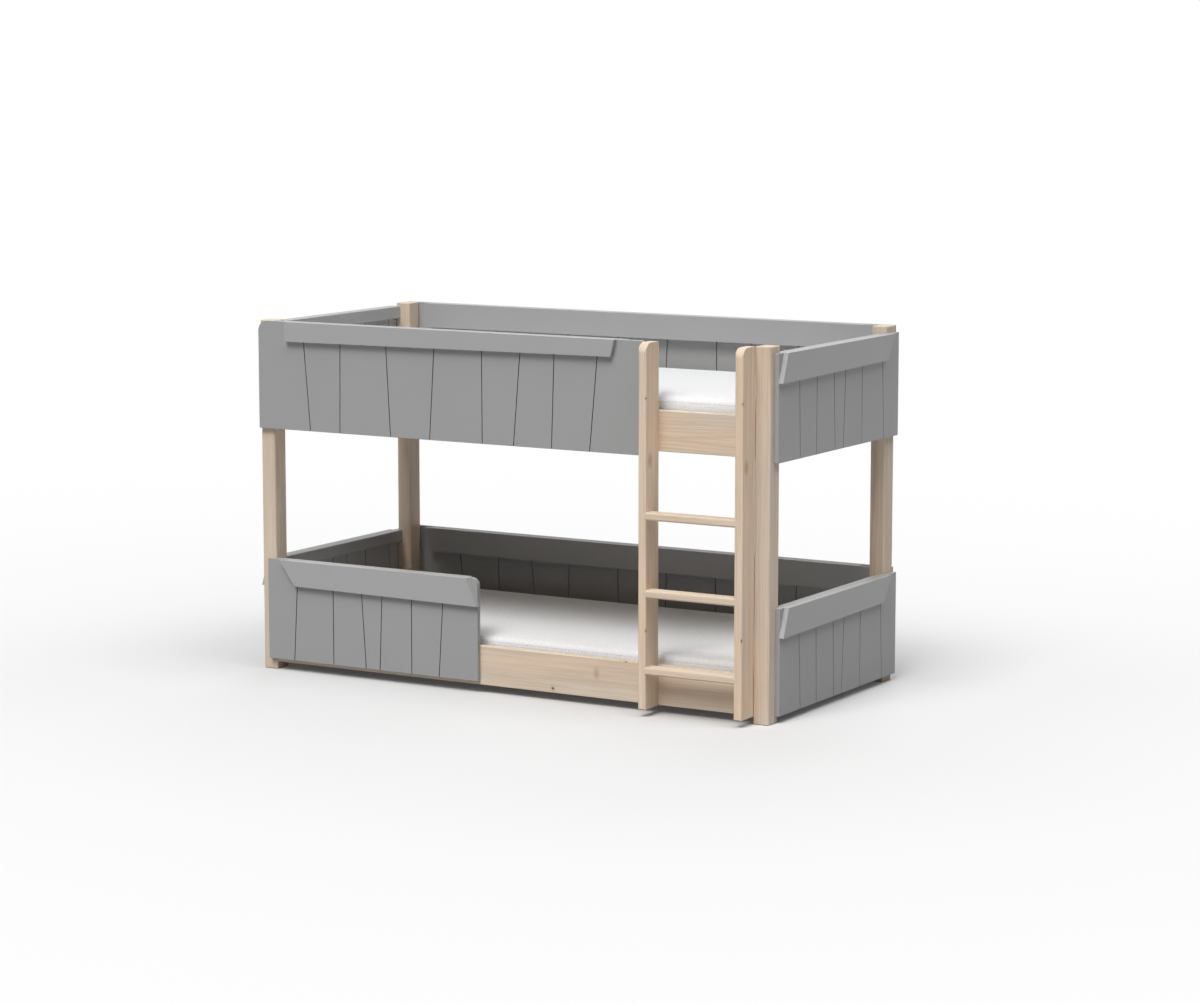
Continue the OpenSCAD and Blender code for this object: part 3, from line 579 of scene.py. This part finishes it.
def cover_material(name, seam_z):
    """Woven cover with a sewn seam that runs round the mattress at a height, darkened there by painted shade
    """
    look = settings("mattress")
    material, t, shader, coords = start_material(name)
    weave = t.group(weave_group(), {
        "Place": coords["Object"],
        "Facing": coords["Normal"],
        "Pitch": look.pitch,
        "Speckle": look.speckle,
    })
    from_seam = t.math("ABSOLUTE", t.math("SUBTRACT", t.split(coords["Object"])["Z"], seam_z))
    seam = t.smooth(from_seam, 0.0004, 0.0022, start=1.0, end=0.0)
    # Painted shade: the cover is darkened along the seam's crease, besides the seam's relief
    shade = t.math("MULTIPLY", weave["Shade"], t.math("MULTIPLY_ADD", seam, -0.14, 1.0))
    relief = t.math("SUBTRACT", weave["Height"], t.math("MULTIPLY", seam, 3.0))
    t.feed(shader, {
        "Base Color": t.tint(look.cover, t.grey(shade)),
        "Normal": t.bump(relief, strength=0.5, depth=0.0006),
        "Roughness": 0.85,
        "Sheen Weight": 0.25,
        "Sheen Roughness": 0.5,
        "Specular IOR Level": 0.2,
    })
    return material


def webbing_material(name):
    """Undyed tape with ribs across it every 1.8 mm and threads along it every 1.2 mm"""
    material, t, shader, coords = start_material(name)
    place = t.split(coords["Object"])
    rib = t.wave(t.math("MULTIPLY", place["X"], math.pi / 0.0018))
    thread = t.wave(t.math("MULTIPLY", place["Y"], math.pi / 0.0012))
    cloth = t.math("MULTIPLY_ADD", t.math("MULTIPLY", rib, thread), 0.25, 0.78)
    t.feed(shader, {
        "Base Color": t.tint((0.72, 0.69, 0.62), t.grey(cloth)),
        "Normal": t.bump(rib, strength=0.6, depth=0.0004),
        "Roughness": 0.9,
    })
    return material


def zinc_material(name):
    """Bright zinc plate with a faint mottle"""
    material, t, shader, coords = start_material(name)
    mottle = t.noise(coords["Object"], 380.0, detail=3.0, rough=0.6)["Fac"]
    t.feed(shader, {
        "Base Color": t.mix(mottle, (0.60, 0.62, 0.64), (0.76, 0.77, 0.78)),
        "Roughness": t.math("MULTIPLY_ADD", mottle, 0.2, 0.22),
        "Metallic": 1.0,
    })
    return material


# ---------------------------------------------------------------- pieces


def dress(node, material):
    """Gives a node of the frame its finish"""
    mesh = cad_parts[node].data
    mesh.materials.clear()
    mesh.materials.append(material)


def middle(node):
    low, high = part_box(node)
    return (low + high) / 2


def dress_pine(node, along, turn, far, seed, **finish):
    """Finishes a piece as pine, with its pith at a distance from its middle in a direction in degrees"""
    centre = middle(node)
    across = [getattr(centre, axis.lower()) for axis in GRAIN_AXES[along][:2]]
    angle = math.radians(turn)
    pith = (across[0] + far * math.cos(angle), across[1] + far * math.sin(angle))
    dress(node, timber_material("pine_" + node, along, pith, seed, **finish))


def bake_modifiers(piece):
    """Applies all modifiers of a piece"""
    graph = bpy.context.evaluated_depsgraph_get()
    mesh = bpy.data.meshes.new_from_object(piece.evaluated_get(graph))
    piece.modifiers.clear()
    piece.data = mesh


def swell_as_cloth(piece):
    """Fills a closed piece with air, as cloth without weight"""
    cloth = piece.modifiers.new("cloth", "CLOTH")
    cloth.settings.use_pressure = True
    cloth.settings.uniform_pressure_force = CLOTH_PRESSURE
    cloth.settings.effector_weights.gravity = 0
    scene = bpy.context.scene
    for number in range(1, CLOTH_FRAMES + 1):
        scene.frame_set(number)
    bake_modifiers(piece)
    scene.frame_set(1)


def swollen_mattress(node):
    """A mattress that starts a little small and swells as filled cloth in its box, and its top's height"""
    look = settings("mattress")
    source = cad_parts[node]
    low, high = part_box(node)
    centre = (low + high) / 2
    size = high - low
    mesh = source.data.copy()
    mesh.name = node + "_cover"
    for v in mesh.vertices:
        for k in range(3):
            v.co[k] = centre[k] + (v.co[k] - centre[k]) * (1 - 2 * look.start_in / size[k])
    piece = bpy.data.objects.new(node + "_cover", mesh)
    bpy.context.scene.collection.objects.link(piece)
    bpy.context.view_layer.objects.active = piece
    remesh = piece.modifiers.new("cells", "REMESH")
    remesh.mode = "VOXEL"
    remesh.voxel_size = look.voxel
    bake_modifiers(piece)
    start = [v.co.copy() for v in piece.data.vertices]
    swell_as_cloth(piece)
    for v, was in zip(piece.data.vertices, start):
        move = v.co - was
        if move.length > look.swell:
            move *= look.swell / move.length
        v.co = was + move
        for k in range(3):
            v.co[k] = min(max(v.co[k], low[k] + BOX_MARGIN), high[k] - BOX_MARGIN)
    soften = piece.modifiers.new("soften", "SMOOTH")
    soften.factor = 0.5
    soften.iterations = look.soften
    round_off = piece.modifiers.new("round", "SUBSURF")
    round_off.levels = round_off.render_levels = 1
    bake_modifiers(piece)
    for polygon in piece.data.polygons:
        polygon.use_smooth = True
    return piece, high.z


# ---------------------------------------------------------------- stage


def floor_material(look):
    """Pale floor that keeps the bed's shadow and fades to white away from the bed"""
    material, t, shader, coords = start_material("floor")
    path = t.node("ShaderNodeLightPath").outputs
    t.feed(shader, {
        "Base Color": t.mix(path["Is Camera Ray"], look.bounce, look.floor),
        "Roughness": 0.7,
        "Specular IOR Level": 0.1,
    })
    from_middle = t.vector("ABSOLUTE", coords["Object"])
    outside = t.vector("SUBTRACT", from_middle, (cad_box[1].x, cad_box[1].y, 0))
    distance = t.vector("LENGTH", t.vector("MAXIMUM", outside, (0, 0, 0)))
    thin = t.math("EXPONENT", t.math("DIVIDE", distance, -look.fade_reach))
    fade = t.math("SUBTRACT", 1.0, t.math("MULTIPLY", thin, 1.0 - look.haze))
    glow = t.node("ShaderNodeEmission", {"Color": WHITE, "Strength": 1.0})
    joined = t.node("ShaderNodeMixShader", {
        0: t.math("MULTIPLY", t.seen_directly(path), fade),
        1: shader.outputs[0],
        2: glow.outputs[0],
    })
    t.feed(material.node_tree.get_output_node("ALL"), {"Surface": joined.outputs[0]})
    return material


def add_floor(scene, look):
    mesh = bpy.data.meshes.new("floor")
    shape = bmesh.new()
    bmesh.ops.create_circle(shape, cap_ends=True, radius=look.floor_radius, segments=look.floor_sides)
    shape.to_mesh(mesh)
    shape.free()
    floor = bpy.data.objects.new("floor", mesh)
    floor.location.z = -FLOOR_GAP
    scene.collection.objects.link(floor)
    mesh.materials.append(floor_material(look))


def add_sky(scene, look):
    """Even light from the upper half of the sky, and a white background for the rays that show it"""
    world = bpy.data.worlds.new("studio")
    world.use_nodes = True
    world.node_tree.nodes.clear()
    t = Tree(world.node_tree)
    height = t.split(t.node("ShaderNodeTexCoord").outputs["Generated"])["Z"]
    level = t.smooth(height, -0.05, 0.05, end=look.sky)
    dome = t.node("ShaderNodeBackground", {"Color": WHITE, "Strength": level})
    white = t.node("ShaderNodeBackground", {"Color": WHITE, "Strength": 1.0})
    path = t.node("ShaderNodeLightPath").outputs
    choice = t.node(
        "ShaderNodeMixShader", {0: t.seen_directly(path), 1: dome.outputs[0], 2: white.outputs[0]})
    t.node("ShaderNodeOutputWorld", {"Surface": choice.outputs[0]})
    scene.world = world


def add_lights(scene, look):
    for name, turn, lift in LIGHTS:
        lamp = bpy.data.lights.new(name, "SUN")
        lamp.energy = getattr(look, name)
        lamp.angle = look.softness
        holder = bpy.data.objects.new(name, lamp)
        turn, lift = math.radians(turn), math.radians(lift)
        source = Vector((math.sin(turn) * math.cos(lift), -math.cos(turn) * math.cos(lift), math.sin(lift)))
        holder.location = source * LIGHT_DISTANCE
        holder.rotation_euler = source.to_track_quat("Z", "Y").to_euler()
        holder.visible_glossy = False
        scene.collection.objects.link(holder)


def add_camera(scene, look):
    view = bpy.data.cameras.new("camera")
    view.sensor_fit = "HORIZONTAL"
    view.sensor_width = 36
    view.lens = look.lens
    view.clip_end = 200
    eye = bpy.data.objects.new("camera", view)
    eye.location = look.camera_place
    eye.rotation_euler = (math.pi / 2 - look.camera_down, 0, look.camera_turn)
    scene.collection.objects.link(eye)
    scene.camera = eye


# ---------------------------------------------------------------- operators
# A knot is given by its centre, its half size, and how strong its heart and its rim are.
# A seed moves the wood's noise, so that no two pieces look alike.


class BUNK_OT_stage(Operator):
    """Makes the floor, the light and the camera"""

    bl_idname = "bunk.stage"
    bl_label = "Stage"

    def execute(self, context):
        look = settings("stage")
        scene = context.scene
        scene.view_settings.view_transform = "Standard"
        add_floor(scene, look)
        add_sky(scene, look)
        add_lights(scene, look)
        add_camera(scene, look)
        return {"FINISHED"}


class BUNK_OT_posts(Operator):
    """Finishes the four posts"""

    bl_idname = "bunk.posts"
    bl_label = "Posts"

    def execute(self, context):
        for i, (node, (turn, far, tone)) in enumerate(POSTS.items()):
            dress_pine(node, "Z", turn, far, seed=1.7 * i, tone=tone)
        return {"FINISHED"}


class BUNK_OT_rails(Operator):
    """Finishes the side rails and end rails"""

    bl_idname = "bunk.rails"
    bl_label = "Rails"

    def execute(self, context):
        low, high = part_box("lower_front_rail")
        knots = {
            "lower_front_rail": [
                ((0.199, low.y, low.z + 0.017), (0.0045, 0.02, 0.0055), 1.0, 0.5),
                ((0.499, low.y, high.z), (0.0065, 0.004, 0.003), 0.9, 0.3),
                ((0.380, low.y, low.z + 0.088), (0.006, 0.02, 0.010), 0.12, 0.6),
            ],
        }
        side_rails = ("upper_front_rail", "upper_rear_rail", "lower_front_rail", "lower_rear_rail")
        for i, node in enumerate(side_rails):
            dress_pine(
                node, "X",
                turn=200 + 35 * i, far=0.07 + 0.01 * i, seed=9.1 + 2.3 * i, knots=knots.get(node, ()))
        for i, level in enumerate(LEVELS):
            for j, end in enumerate(("left", "right")):
                dress_pine(
                    f"{level}_{end}_end_rail", "Y",
                    turn=60 + 70 * j + 30 * i, far=0.08, seed=20.3 + 1.9 * i + 3.7 * j)
        return {"FINISHED"}


class BUNK_OT_slatted_decks(Operator):
    """Finishes the cleats, slats and tapes"""

    bl_idname = "bunk.slatted_decks"
    bl_label = "Slatted decks"

    def execute(self, context):
        tape = webbing_material("webbing")
        for i, level in enumerate(LEVELS):
            slats = level + "_slats"
            centre = middle(slats)
            pith = (centre.x + 0.37, centre.z - 0.06)
            dress(slats, timber_material("pine_" + slats, "Y", pith, seed=31.7 + i))
            dress(level + "_slat_tapes", tape)
            for j, side in enumerate(("front", "rear")):
                dress_pine(
                    f"{level}_{side}_cleat", "X", turn=250 + 60 * j, far=0.05, seed=41.9 + i + 2.2 * j)
        return {"FINISHED"}


class BUNK_OT_boards(Operator):
    """Paints the panels, trims and bands"""

    bl_idname = "bunk.boards"
    bl_label = "Painted boards"

    def execute(self, context):
        paint = paint_material("grey_paint")
        # Painted light: the outer trims get a lighter copy of the grey paint
        trim_paint_with_painted_light = paint_material("grey_trim", lift=settings("paint").trim_painted_light)
        for level in LEVELS:
            for side in PANEL_SIDES:
                panel = f"{level}_{side}_panel"
                dress(panel, paint_material("grey_" + panel, panel))
                dress(f"{level}_{side}_trim", paint if side == "back" else trim_paint_with_painted_light)
                dress(f"{level}_{side}_band", paint)
        return {"FINISHED"}


class BUNK_OT_ladder(Operator):
    """Finishes the ladder's stiles and rungs"""

    bl_idname = "bunk.ladder"
    bl_label = "Ladder"

    def execute(self, context):
        for i, node in enumerate(("ladder_left_stile", "ladder_right_stile")):
            low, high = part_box(node)
            knots = [
                ((high.x, low.y + 0.002, high.z - 0.190), (0.003, 0.0035, 0.0055), 0.9, 0.4),
                ((high.x, low.y + 0.028, 0.900), (0.005, 0.007, 0.012), 0.1, 0.8),
                ((high.x, low.y + 0.002, 0.306), (0.003, 0.0035, 0.0055), 0.9, 0.4),
            ]
            dress_pine(
                node, "Z", turn=160 - 130 * i, far=0.10, seed=51.1 + 4.3 * i, knots=knots, tone=STILE_TONE)
        for i, node in enumerate(("bottom_rung", "middle_rung", "top_rung")):
            dress_pine(node, "X", turn=240 + 40 * i, far=0.06, seed=61.3 + 2.7 * i)
        return {"FINISHED"}


class BUNK_OT_fittings(Operator):
    """Finishes the studs, nuts, screws, bolts and dowels"""

    bl_idname = "bunk.fittings"
    bl_label = "Fittings"

    def execute(self, context):
        zinc = zinc_material("zinc")
        for node in ("rail_studs", "half_moon_washers", "rail_nuts", "panel_screws", "slat_base_screws",
                     "ladder_bolts", "ladder_inserts"):
            dress(node, zinc)
        dress("rung_dowels", timber_material("beech", "X", pith=(0.1, 0.05), seed=71.5))
        return {"FINISHED"}


class BUNK_OT_mattresses(Operator):
    """Makes the two mattresses in their woven covers"""

    bl_idname = "bunk.mattresses"
    bl_label = "Mattresses"

    def execute(self, context):
        seam_drop = settings("mattress").seam_drop
        for node in ("upper_mattress", "lower_mattress"):
            piece, top = swollen_mattress(node)
            piece.data.materials.clear()
            piece.data.materials.append(cover_material(node + "_cover", top - seam_drop))
            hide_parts(node)
            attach(piece, node)
        return {"FINISHED"}


class BUNK_PT_sidebar(Panel):
    """Shows the settings and the steps that dress the bed"""

    bl_label = "Low Bunk Bed"
    bl_idname = "BUNK_PT_sidebar"
    bl_space_type = "VIEW_3D"
    bl_region_type = "UI"
    bl_category = "Bunk Bed"

    def draw(self, context):
        for group in SETTINGS:
            box = self.layout.box()
            chosen = settings(group)
            for name in chosen.__annotations__:
                box.prop(chosen, name)
        for step in STEPS:
            self.layout.operator(step.bl_idname)


SETTINGS = {
    "timber": BUNK_PG_timber,
    "paint": BUNK_PG_paint,
    "mattress": BUNK_PG_mattress,
    "stage": BUNK_PG_stage,
}
STEPS = (
    BUNK_OT_stage,
    BUNK_OT_posts,
    BUNK_OT_rails,
    BUNK_OT_slatted_decks,
    BUNK_OT_boards,
    BUNK_OT_ladder,
    BUNK_OT_fittings,
    BUNK_OT_mattresses,
)
CLASSES = (*SETTINGS.values(), *STEPS, BUNK_PT_sidebar)


def register():
    for cls in CLASSES:
        bpy.utils.register_class(cls)
    for name, group in SETTINGS.items():
        setattr(bpy.types.Scene, "bunk_" + name, PointerProperty(type=group))


def unregister():
    for name in SETTINGS:
        delattr(bpy.types.Scene, "bunk_" + name)
    for cls in reversed(CLASSES):
        bpy.utils.unregister_class(cls)


def main():
    register()
    for step in STEPS:
        family, name = step.bl_idname.split(".")
        getattr(getattr(bpy.ops, family), name)()


if __name__ == "__main__":
    main()
